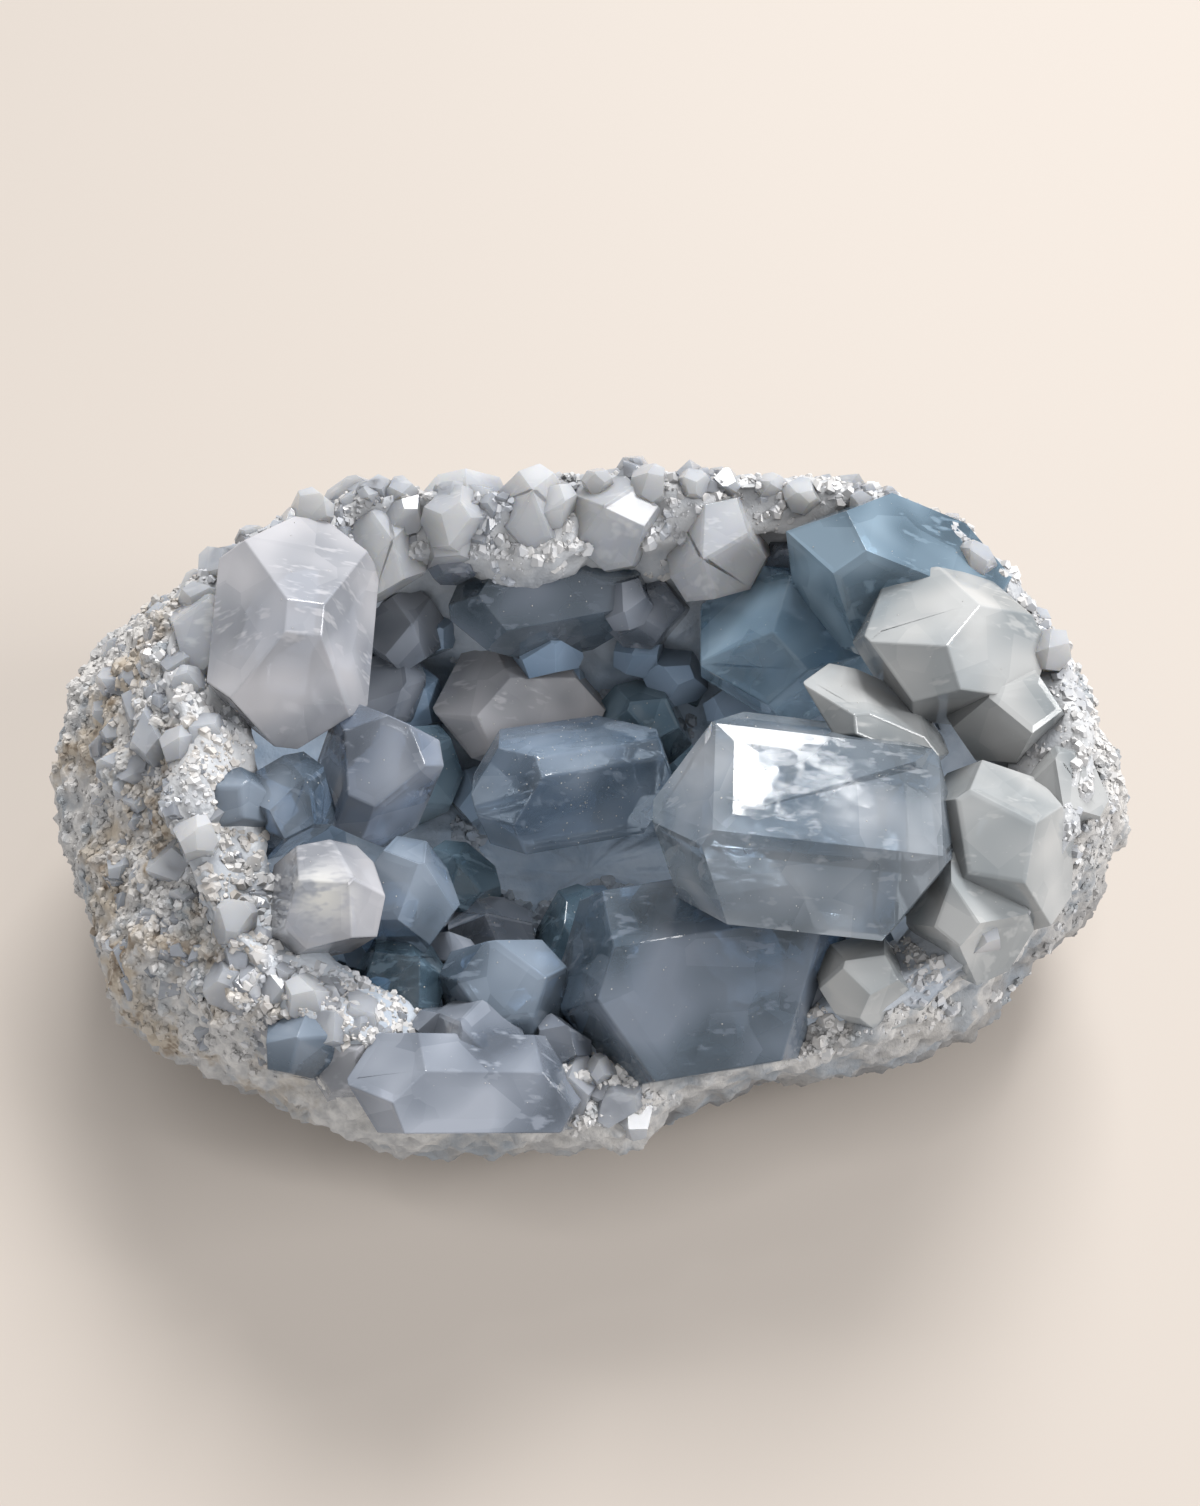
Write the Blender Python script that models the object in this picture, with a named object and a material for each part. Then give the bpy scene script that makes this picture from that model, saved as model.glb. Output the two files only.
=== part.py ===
"""A celestite geode: half of a nodule 95 mm long, a thick pale rind that is open at the top.

Blue crystals line its hollow and stand over its edge, grown together as one crust. It rests on a small flat
spot of the rind, whose centre is the origin. +X runs along the stone and +Y to its high side. Sizes in the
lists are millimetres.
"""

import math
import random

import bmesh
import bpy
from mathutils import Matrix, Vector, noise

MM = 0.001

# The nodule, seen from above: radii at 16 even compass directions, anticlockwise from +X.
GIRTH_RADII = (47.5, 45, 39, 31, 29, 30, 39.5, 47, 47.5, 42.5, 33.5, 29.5, 27, 25.5, 29.5, 38)
EDGE_RADII = (42, 41, 36, 29, 26.5, 26.5, 33.5, 37.5, 34.5, 34, 31, 28.5, 26, 25, 29, 37)
EDGE_HEIGHTS = (31.5, 32.5, 33.5, 34, 34.5, 34.5, 34, 33, 30.5, 28, 25, 21.5, 19.5, 19.5, 21.5, 27)
GIRTH_HEIGHT = 14.5
FOOT_RADII = (15.0, 10.0)

# The rind's wall, the crest on its edge, and where the curves of its belly and of the hollow's floor turn, as
# shares of the girth and of its height.
WALL = 4.5
CREST = 0.7
BELLY_SHARES = (0.82, 0.45)
FLOOR_HEIGHT = 7.0
FLOOR_SHARE = 0.62

# How finely the surfaces are divided.
COLUMNS = 54
LOWER_ROWS = 5
UPPER_ROWS = 5
HOLLOW_ROWS = 6
CRUST_COLUMNS = 36
CRUST_BACK_ROWS = 4

# Waves in the rind and the crust: (size of a wave, depth). They leave the flat spot alone.
LUMPS = (17.0, 1.5)
PITS = (5.0, 0.8)
CRUST_WAVES = (9.0, 0.9)
LEAST_HEIGHT = 0.25

# The crust that the crystals grow from, and the gap that parts it from the rind. Its lip lies on the
# rind's edge: (inwards from the edge, up from its top).
CRUST_DEPTH = 3.2
CRUST_LIP = ((0.9, -0.6), (1.2, 1.5), (2.7, 2.4))
CRUST_BACK = 1.5
GAP = 0.5

# Celestite's faces, as the angle of each face's normal. The crystal is long on its own X axis.
SIDE_ANGLE = math.radians(52.1)
END_ANGLE = math.radians(38.0)
BLUNT = math.radians(31.3)
STEEP = math.radians(50.6)
LOW = math.radians(67.7)

# Each face lies at its own share of its even distance from the crystal's middle.
FACE_SHIFT = (0.92, 1.08)

# The large crystals: (root, tip, width, thickness, turn about the long axis in degrees, slope of the ends).
LARGE_CRYSTALS = (
    ((-25, 1, 30), (-23.5, 20.5, 37.5), 13.5, 13, 20, STEEP),
    ((-21, 0, 18), (-15.5, 3.5, 33), 10, 9.5, 40, STEEP),
    ((-24, -10, 22), (-17.5, -12, 35), 9.5, 9, 70, STEEP),
    ((-18, -10, 17), (-13, -9, 30), 9.5, 9, 10, STEEP),
    ((-28, -2, 22), (-22.5, -2.5, 32.5), 8, 8, 0, STEEP),
    ((-30, -3, 25), (-27, -3, 33), 6, 6, 50, STEEP),
    ((7, 7, 17), (-10.5, 0.5, 23.5), 12, 14, -12, BLUNT),
    ((2, 16, 12), (-14.5, 12, 18.5), 13, 11, 20, STEEP),
    ((7, 22.5, 25), (-12.8, 17, 26.5), 11, 11.5, 30, STEEP),
    ((-12.5, 24.5, 27), (-9.5, 21, 38), 9.5, 8.5, 15, STEEP),
    ((-5, 24.5, 28), (-4.5, 21.5, 38.5), 8, 8, 75, STEEP),
    ((3.5, 26, 27), (1, 20.5, 37.5), 9, 8.5, 30, STEEP),
    ((13, 26, 26), (9.5, 17.5, 35), 10, 9, 80, STEEP),
    ((7, 25, 17), (3.5, 17, 28), 9, 8.5, 15, STEEP),
    ((11, 22, 7), (7.5, 16.5, 17), 7, 7, 40, STEEP),
    ((27, 21, 20), (9.5, 11.5, 27.5), 14.5, 15, 35, STEEP),
    ((36, 15, 29), (16.5, 18.5, 37), 13.5, 13, 65, STEEP),
    ((38, 11, 29), (22, 7.5, 39), 14, 11, 25, STEEP),
    ((30, 2, 30), (17.5, 4.5, 36), 9, 3.5, 30, LOW),
    ((30, -6.5, 30), (4.5, -5, 33.5), 19, 13, 0, BLUNT),
    ((22, -12.5, 21), (-3, -16.5, 20), 20, 16, 22, BLUNT),
    ((-6, -20, 13), (-7, -13.5, 27), 10.5, 9.5, 0, STEEP),
    ((0, -23.5, 20), (-18.5, -25.5, 27), 10, 8, 20, STEEP),
    ((-7, -23, 15), (-9.5, -20.5, 27.5), 10, 8, 60, STEEP),
    ((-23, -20, 19), (-22, -22.5, 29), 6.5, 6, 20, STEEP),
    ((-20, -22, 16), (-17.5, -23, 27), 6, 5.5, 60, STEEP),
    ((-18, -15, 13), (-13.5, -15, 26), 8, 7.5, 45, STEEP),
    ((-18, -20, 12), (-13.5, -19.5, 23.5), 7.5, 7, 5, STEEP),
    ((37, -8, 22), (29, -6, 37), 12.5, 12, 40, STEEP),
    ((33.5, -12, 20), (28, -10.5, 34), 10.5, 10, 10, STEEP),
    ((26, -16.5, 18), (20, -16.5, 29), 7.5, 7, 70, STEEP),
    ((39.5, -3, 25), (37, -1.5, 35), 8.5, 8, 0, STEEP),
    ((38, 6, 24), (32, 3, 37), 9.5, 9, 50, STEEP),
    ((-32, 9, 26), (-31, 13, 36.5), 8, 8, 0, STEEP),
    ((-20, 22, 26), (-16.5, 18, 36.5), 8, 8, 45, STEEP),
    ((1, -10, 6), (-2, -8, 19), 9, 8, 30, STEEP),
    ((-8, -9, 6), (-8.5, -8, 18.5), 9.5, 8.5, 60, STEEP),
    ((10, -10, 7), (6, -11, 20), 7, 7, 10, STEEP),
    ((-17, 8, 9), (-14.5, 6, 21), 9, 8.5, 20, STEEP),
    ((8, 8, 6), (10, 4, 20), 8, 8, 70, STEEP),
    ((-19, 21, 16), (-15.5, 16, 26.5), 8.5, 8, 55, STEEP),
    ((-21, 16, 14), (-16.5, 12, 23), 8, 8, 10, STEEP),
    ((7, 14, 8), (3.5, 12, 19.5), 8.5, 8, 40, STEEP),
    ((-11.5, -4, 8), (-11.5, -3, 18.5), 8, 7.5, 15, STEEP),
    ((-14, -12, 10), (-11, -13.5, 22), 7.5, 7, 65, STEEP),
)

# The small crystals: rings of them down the hollow, from its edge (0) towards its floor (1), as
# (share of the way down, how many, least length, greatest length, lean towards the middle).
SMALL_CRYSTAL_RINGS = (
    (0.0, 28, 4.2, 6.2, 0.5),
    (0.16, 16, 5.5, 8.5, 0.7),
    (0.36, 13, 6.0, 9.0, 0.8),
    (0.58, 11, 6.0, 9.0, 0.7),
    (0.80, 6, 6.0, 8.0, 0.3),
)
SEED = 14

CRYSTAL_COLOUR = (0.42, 0.52, 0.62, 1.0)
RIND_COLOUR = (0.72, 0.71, 0.70, 1.0)


def clear_scene():
    """Takes away whatever the scene holds."""
    for thing in list(bpy.data.objects):
        bpy.data.objects.remove(thing)


def at_compass(values, angle):
    """A smooth closed curve through evenly spaced values, read at an angle."""
    count = len(values)
    place = (angle / math.tau * count) % count
    start = int(place)
    t = place - start
    before, low, high, after = (values[(start + step) % count] for step in (-1, 0, 1, 2))
    slope_low = (high - before) / 2
    slope_high = (after - low) / 2
    rise = high - low
    curve = 3 * rise - 2 * slope_low - slope_high + t * (slope_low + slope_high - 2 * rise)
    return low + t * (slope_low + t * curve)


def foot_radius(angle):
    """The flat spot is an ellipse."""
    long, short = FOOT_RADII
    return long * short / math.hypot(short * math.cos(angle), long * math.sin(angle))


def bezier(points, t):
    """A point (radius, height) on the Bezier curve of the given points."""
    points = [Vector(p) for p in points]
    while len(points) > 1:
        points = [a.lerp(b, t) for a, b in zip(points, points[1:])]
    return points[0]


def hollow_curve(angle, inset=0.0):
    """The hollow's wall from the edge to the middle of its floor, moved inwards by the inset."""
    girth = at_compass(GIRTH_RADII, angle)
    edge = at_compass(EDGE_RADII, angle)
    top = at_compass(EDGE_HEIGHTS, angle)
    return (
        (edge - WALL - inset, top - 0.5),
        (girth - WALL - inset, GIRTH_HEIGHT + 1),
        (girth * FLOOR_SHARE - inset, FLOOR_HEIGHT + inset),
        (0.0, FLOOR_HEIGHT + inset),
    )


def rind_profile(angle):
    """The rind's section at an angle, from the flat spot up the outside and down the hollow's wall."""
    girth = at_compass(GIRTH_RADII, angle)
    edge = at_compass(EDGE_RADII, angle)
    top = at_compass(EDGE_HEIGHTS, angle)
    foot = foot_radius(angle)
    out, up = BELLY_SHARES
    below = ((foot, 0.0), (girth * out, 0.0), (girth, GIRTH_HEIGHT * up), (girth, GIRTH_HEIGHT))
    above = ((girth, GIRTH_HEIGHT), (girth, (GIRTH_HEIGHT + top) / 2), (edge, top))
    inside = hollow_curve(angle)
    rows = [bezier(below, i / LOWER_ROWS) for i in range(LOWER_ROWS + 1)]
    rows += [bezier(above, i / UPPER_ROWS) for i in range(1, UPPER_ROWS + 1)]
    rows += [Vector((edge - WALL / 2, top + CREST))]
    rows += [bezier(inside, i / HOLLOW_ROWS) for i in range(HOLLOW_ROWS)]
    return rows


def crust_profile(angle):
    """The crust's section: over the rind's edge and down the hollow, and its back, which lies in the rind."""
    edge = at_compass(EDGE_RADII, angle)
    top = at_compass(EDGE_HEIGHTS, angle)
    face = hollow_curve(angle, CRUST_DEPTH)
    back = hollow_curve(angle, -CRUST_BACK)
    rows = [Vector((edge - inwards, top + up)) for inwards, up in CRUST_LIP]
    rows += [bezier(face, i / HOLLOW_ROWS) for i in range(HOLLOW_ROWS)]
    rows_back = [bezier(back, i / CRUST_BACK_ROWS) for i in range(CRUST_BACK_ROWS)]
    return rows, rows_back


def add_ring(mesh, rows, angle):
    """One column of vertices, from (radius, height) rows."""
    along = Vector((math.cos(angle), math.sin(angle), 0.0))
    return [mesh.verts.new(along * row.x + Vector((0, 0, row.y))) for row in rows]


def join_columns(mesh, columns):
    """Quads between each column and the next, all the way round."""
    for left, right in zip(columns, columns[1:] + columns[:1]):
        for i in range(len(left) - 1):
            mesh.faces.new((left[i], right[i], right[i + 1], left[i + 1]))


def wave(place, size):
    """A smooth random number, mostly between -1 and 1, that changes over the given size in millimetres."""
    far_off = Vector((0, 0, 31))
    return noise.fractal(place / size + far_off, 0.8, 2.1, 2) * 1.6


def roughen(mesh, fixed, waves):
    """Moves vertices along their normals by the sum of the waves."""
    mesh.normal_update()
    moves = []
    for vertex in mesh.verts:
        if vertex in fixed:
            continue
        amount = sum(wave(vertex.co, size) * depth for size, depth in waves)
        moves.append((vertex, vertex.normal * amount))
    for vertex, move in moves:
        vertex.co += move


def rind_mesh():
    """The rind as a mesh in millimetres."""
    mesh = bmesh.new()
    angles = [math.tau * i / COLUMNS for i in range(COLUMNS)]
    columns = [add_ring(mesh, rind_profile(angle), angle) for angle in angles]
    join_columns(mesh, columns)
    mesh.faces.new([column[0] for column in reversed(columns)])
    floor = mesh.verts.new((0, 0, FLOOR_HEIGHT))
    for left, right in zip(columns, columns[1:] + columns[:1]):
        mesh.faces.new((left[-1], right[-1], floor))
    foot = {column[0] for column in columns}
    roughen(mesh, foot, (LUMPS, PITS))
    for vertex in mesh.verts:
        if vertex not in foot:
            vertex.co.z = max(vertex.co.z, LEAST_HEIGHT)
    bmesh.ops.triangulate(mesh, faces=[face for face in mesh.faces if len(face.verts) == 4])
    return mesh


def crust_mesh():
    """The crust under the crystals, in millimetres, before the rind trims its back."""
    mesh = bmesh.new()
    angles = [math.tau * i / CRUST_COLUMNS for i in range(CRUST_COLUMNS)]
    fronts = []
    backs = []
    for angle in angles:
        rows, rows_back = crust_profile(angle)
        fronts.append(add_ring(mesh, rows, angle))
        backs.append(add_ring(mesh, rows_back, angle))
    join_columns(mesh, fronts)
    join_columns(mesh, [list(reversed(column)) for column in backs])
    top = mesh.verts.new((0, 0, FLOOR_HEIGHT + CRUST_DEPTH))
    bottom = mesh.verts.new((0, 0, FLOOR_HEIGHT - CRUST_BACK))
    for i in range(CRUST_COLUMNS):
        after = (i + 1) % CRUST_COLUMNS
        mesh.faces.new((fronts[i][-1], fronts[after][-1], top))
        mesh.faces.new((backs[after][-1], backs[i][-1], bottom))
        mesh.faces.new((backs[i][0], backs[after][0], fronts[after][0], fronts[i][0]))
    roughen(mesh, set(), (CRUST_WAVES,))
    return mesh


def crystal_axes(root, tip, turn):
    """A rotation whose X axis runs from the root to the tip, turned about that axis."""
    long = (tip - root).normalized()
    level = Vector((0, 0, 1)).cross(long)
    if level.length < 0.1:
        level = Vector((1, 0, 0)).cross(long)
    level.normalize()
    axes = Matrix((long, level, long.cross(level))).transposed()
    return axes @ Matrix.Rotation(turn, 3, "X")


def crystal_faces(length, width, thickness, slope, dice):
    """(normal, distance from the middle) of each face of a crystal, on its own axes."""
    half = length / 2
    faces = []

    def face(normal, distance):
        faces.append((Vector(normal), distance * dice.uniform(*FACE_SHIFT)))

    for up in (1, -1):
        face((0, 0, up), thickness / 2)
        for side in (1, -1):
            face((0, side * math.sin(SIDE_ANGLE), up * math.cos(SIDE_ANGLE)), width / 2 * math.sin(SIDE_ANGLE))
    for end in (1, -1):
        for side in (1, -1):
            face((end * math.cos(END_ANGLE), side * math.sin(END_ANGLE), 0), half * math.cos(END_ANGLE))
        for up in (1, -1):
            face((end * math.cos(slope), 0, up * math.sin(slope)), half * math.cos(slope))
    return faces


def corners_of(faces):
    """The corners of the solid that lies behind all the faces."""
    corners = []
    for i, (a, da) in enumerate(faces):
        for j in range(i):
            b, db = faces[j]
            line = a.cross(b)
            for c, dc in faces[:j]:
                volume = line.dot(c)
                if abs(volume) < 1e-6:
                    continue
                point = (b.cross(c) * da + c.cross(a) * db + a.cross(b) * dc) / volume
                if all(normal.dot(point) <= distance + 1e-5 for normal, distance in faces):
                    corners.append(point)
    return corners


def crystal_mesh(root, tip, width, thickness, turn, slope, dice):
    """One crystal with flat faces, in millimetres."""
    root, tip = Vector(root), Vector(tip)
    axes = crystal_axes(root, tip, math.radians(turn))
    middle = (root + tip) / 2
    mesh = bmesh.new()
    for point in corners_of(crystal_faces((tip - root).length, width, thickness, slope, dice)):
        mesh.verts.new(axes @ point + middle)
    bmesh.ops.remove_doubles(mesh, verts=mesh.verts, dist=0.02)
    bmesh.ops.convex_hull(mesh, input=mesh.verts)
    bmesh.ops.dissolve_limit(mesh, angle_limit=math.radians(0.5), verts=mesh.verts, edges=mesh.edges)
    bmesh.ops.recalc_face_normals(mesh, faces=mesh.faces)
    return mesh


def small_crystals(dice):
    """Small crystals over the hollow's wall, which lean in and up, with the same values as the large ones."""
    found = []
    for share, count, least, most, lean in SMALL_CRYSTAL_RINGS:
        for i in range(count):
            angle = math.tau * (i + share * 2 + dice.uniform(-0.3, 0.3)) / count
            inset = 0.6 if share else -WALL / 2
            spot = bezier(hollow_curve(angle, inset), min(max(share + dice.uniform(-0.05, 0.05), 0.0), 1.0))
            outwards = Vector((math.cos(angle), math.sin(angle), 0))
            root = outwards * spot.x + Vector((0, 0, spot.y))
            stray = Vector(dice.uniform(-0.45, 0.45) for _ in range(3))
            length = dice.uniform(least, most)
            tip = root + (Vector((0, 0, 1.2)) - outwards * lean + stray).normalized() * length
            width = length * dice.uniform(0.6, 0.85)
            thickness = width * dice.uniform(0.8, 1.1)
            found.append((root, tip, width, thickness, dice.uniform(0, 90), STEEP))
    return found


def material(name, colour, roughness):
    """A plain material."""
    made = bpy.data.materials.new(name)
    made.use_nodes = True
    shader = made.node_tree.nodes["Principled BSDF"]
    shader.inputs["Base Color"].default_value = colour
    shader.inputs["Roughness"].default_value = roughness
    return made


def add_object(name, mesh, made_of=None):
    """An object of a mesh in millimetres, at its real size."""
    bmesh.ops.scale(mesh, vec=(MM, MM, MM), verts=mesh.verts)
    data = bpy.data.meshes.new(name)
    mesh.to_mesh(data)
    mesh.free()
    if made_of:
        data.materials.append(made_of)
    thing = bpy.data.objects.new(name, data)
    bpy.context.collection.objects.link(thing)
    return thing


def helper(thing):
    """Marks an object as a cutter or a guide, which isn't part of the stone."""
    thing.hide_render = True
    thing.display_type = "WIRE"
    return thing


def add_rind():
    """The rind, and the slightly larger copy of it that trims the crust."""
    rind = add_object("rind", rind_mesh(), material("rind", RIND_COLOUR, 0.9))
    larger = rind_mesh()
    larger.normal_update()
    moves = [vertex.normal * (GAP * min(vertex.calc_shell_factor(), 2.0)) for vertex in larger.verts]
    for vertex, move in zip(larger.verts, moves):
        vertex.co += move
    return rind, helper(add_object("rind_clearance", larger))


def body_around(start):
    """All the faces that can be reached from a face over edges that two faces share."""
    found = {start}
    waiting = [start]
    while waiting:
        for edge in waiting.pop().edges:
            for face in edge.link_faces:
                if face not in found and len(edge.link_faces) == 2:
                    found.add(face)
                    waiting.append(face)
    return found


def keep_largest_body(thing):
    """Applies the modifiers and takes away the crumbs that the trim cuts loose."""
    solid = thing.evaluated_get(bpy.context.evaluated_depsgraph_get())
    mesh = bmesh.new()
    mesh.from_mesh(bpy.data.meshes.new_from_object(solid))
    bodies = []
    left = set(mesh.faces)
    while left:
        bodies.append(body_around(next(iter(left))))
        left -= bodies[-1]
    bodies.sort(key=len)
    for body in bodies[:-1]:
        bmesh.ops.delete(mesh, geom=list(body), context="FACES")
    thing.modifiers.clear()
    mesh.to_mesh(thing.data)
    mesh.free()


def add_crystals(clearance):
    """The crust and every crystal, joined into one solid and trimmed to fit the rind."""
    dice = random.Random(SEED)
    grown = bpy.data.collections.new("grown")
    bpy.context.scene.collection.children.link(grown)
    for number, spec in enumerate(list(LARGE_CRYSTALS) + small_crystals(dice), 1):
        crystal = helper(add_object(f"crystal_{number}", crystal_mesh(*spec, dice)))
        bpy.context.collection.objects.unlink(crystal)
        grown.objects.link(crystal)
    crust = add_object("crystals", crust_mesh(), material("crystals", CRYSTAL_COLOUR, 0.2))
    join = crust.modifiers.new("join", "BOOLEAN")
    join.operation = "UNION"
    join.operand_type = "COLLECTION"
    join.collection = grown
    join.solver = "EXACT"
    trim = crust.modifiers.new("trim", "BOOLEAN")
    trim.operation = "DIFFERENCE"
    trim.object = clearance
    trim.solver = "MANIFOLD"
    keep_largest_body(crust)
    return crust


clear_scene()
rind, clearance = add_rind()
crystals = add_crystals(clearance)
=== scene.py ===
"""The looks of a celestite geode: a sugary, stained rind and a hollow full of milky blue-grey crystals.

Sizes are millimetres where no comment says metres, in the frame of the solids: +X runs along the stone and
+Y to its high side.
"""

import math
import random

import bmesh
import bpy
import numpy as np
from mathutils import Matrix, Vector, noise
from mathutils.bvhtree import BVHTree


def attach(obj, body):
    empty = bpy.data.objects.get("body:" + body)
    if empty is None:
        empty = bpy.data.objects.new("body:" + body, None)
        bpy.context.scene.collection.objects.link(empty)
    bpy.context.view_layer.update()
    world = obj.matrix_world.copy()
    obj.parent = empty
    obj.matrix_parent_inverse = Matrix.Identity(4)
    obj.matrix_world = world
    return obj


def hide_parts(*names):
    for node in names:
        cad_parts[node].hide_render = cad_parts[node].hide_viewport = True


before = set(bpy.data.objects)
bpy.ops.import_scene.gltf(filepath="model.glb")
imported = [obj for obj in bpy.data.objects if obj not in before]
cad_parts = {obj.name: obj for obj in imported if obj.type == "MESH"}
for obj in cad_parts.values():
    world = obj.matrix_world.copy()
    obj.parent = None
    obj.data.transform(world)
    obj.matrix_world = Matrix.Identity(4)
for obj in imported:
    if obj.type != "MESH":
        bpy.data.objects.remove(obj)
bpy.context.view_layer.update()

MM = 0.001
BODY = "root"

# The camera looks down at the stone from its front, as a phone held above it does.
CAMERA_PLACE = (1.1, -63.3, 151.7)
CAMERA_TILT = 62.0
CAMERA_LENS = 40.0
CAMERA_SENSOR = 36.0
CAMERA_NEAR = 5.0

# Soft light from behind and above, and from the right: (name, place, aim, size, power, colour).
BROAD_LIGHTS = (
    ("sky", (500, 2100, 2100), (0, 0, 20), (1400, 1050), 66, (1.0, 0.99, 0.97)),
    ("side", (600, -60, 420), (40, 0, 20), (260, 260), 1.9, (1.0, 0.99, 0.98)),
)

# The window that the large crystal at the right mirrors, and what its panes aim at. A pane is (name, place,
# size, turn in degrees, brightness).
MIRROR_SPOT = (17, -6, 39)
WINDOW_PANES = (
    ("pane", (170, 216, 457), (27, 22), 0, 26.0),
    ("band", (194, 223, 449), (50, 5), 8, 12.0),
    ("stroke_low", (190, 199, 457), (24, 3), -33, 11.0),
    ("stroke_high", (203, 210, 450), (28, 3), 20, 11.0),
)

# The pale room and its floor. Light that has bounced more than once comes from the room, past whatever
# stands nearer than the reach.
ROOM_COLOUR = (1.0, 0.99, 0.98, 1.0)
ROOM_BRIGHTNESS = 0.5
AMBIENT_REACH = 10.0
FLOOR_COLOUR = (0.68, 0.615, 0.56, 1.0)
FLOOR_REACH = 1500

# The hollow, as in the solids: values at 16 even compass directions, anticlockwise from +X.
GIRTH_RADII = (47.5, 45, 39, 31, 29, 30, 39.5, 47, 47.5, 42.5, 33.5, 29.5, 27, 25.5, 29.5, 38)
EDGE_RADII = (42, 41, 36, 29, 26.5, 26.5, 33.5, 37.5, 34.5, 34, 31, 28.5, 26, 25, 29, 37)
EDGE_HEIGHTS = (31.5, 32.5, 33.5, 34, 34.5, 34.5, 34, 33, 30.5, 28, 25, 21.5, 19.5, 19.5, 21.5, 27)
GIRTH_HEIGHT = 14.5
WALL = 4.5
FLOOR_HEIGHT = 7.0
FLOOR_SHARE = 0.62
EDGE_DROP = 0.5
BELLY_RISE = 1.0

# The bed that lines the hollow, as in the solids: its depth, its lip over the rind's edge as (distance
# inwards from the edge, height above it), how far its back lies in the rind, and its waves (size, depth).
CRUST_DEPTH = 3.2
CRUST_LIP = ((0.9, -0.6), (1.2, 1.5), (2.7, 2.4))
CRUST_BACK = 1.5
CRUST_WAVES = (9.0, 0.9)

# The waves' pattern: where it is read, how smooth it is, how much finer each layer is, how many layers there
# are, and its strength.
WAVE_OFFSET = (0, 0, 31)
WAVE_SMOOTHNESS = 0.8
WAVE_STEP = 2.1
WAVE_LAYERS = 2
WAVE_STRENGTH = 1.6

# How many points the bed's mesh has around, down its face, along each part of its lip, and down its back.
BED_COLUMNS = 240
BED_ROWS = 40
BED_LIP_ROWS = 5
BED_BACK_ROWS = 10

# Celestite's faces, as the angle of each face's normal, and by how much a face may stand nearer or farther
# out. The crystal is long on its own X axis.
SIDE_ANGLE = math.radians(52.1)
END_ANGLE = math.radians(38.0)
BLUNT = math.radians(31.3)
STEEP = math.radians(50.6)
LOW = math.radians(67.7)
FACE_SHIFT = (0.92, 1.08)
CELESTITE_IOR = 1.62

# Limits for building a crystal: when it counts as upright, when three faces meet in no point, when a point
# lies on a face, when two corners are one, and when two faces are one (in degrees).
ALMOST_UPRIGHT = 0.1
NO_VOLUME = 1e-6
ON_FACE = 1e-5
SAME_CORNER = 0.02
SAME_FACE = 0.5

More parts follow.
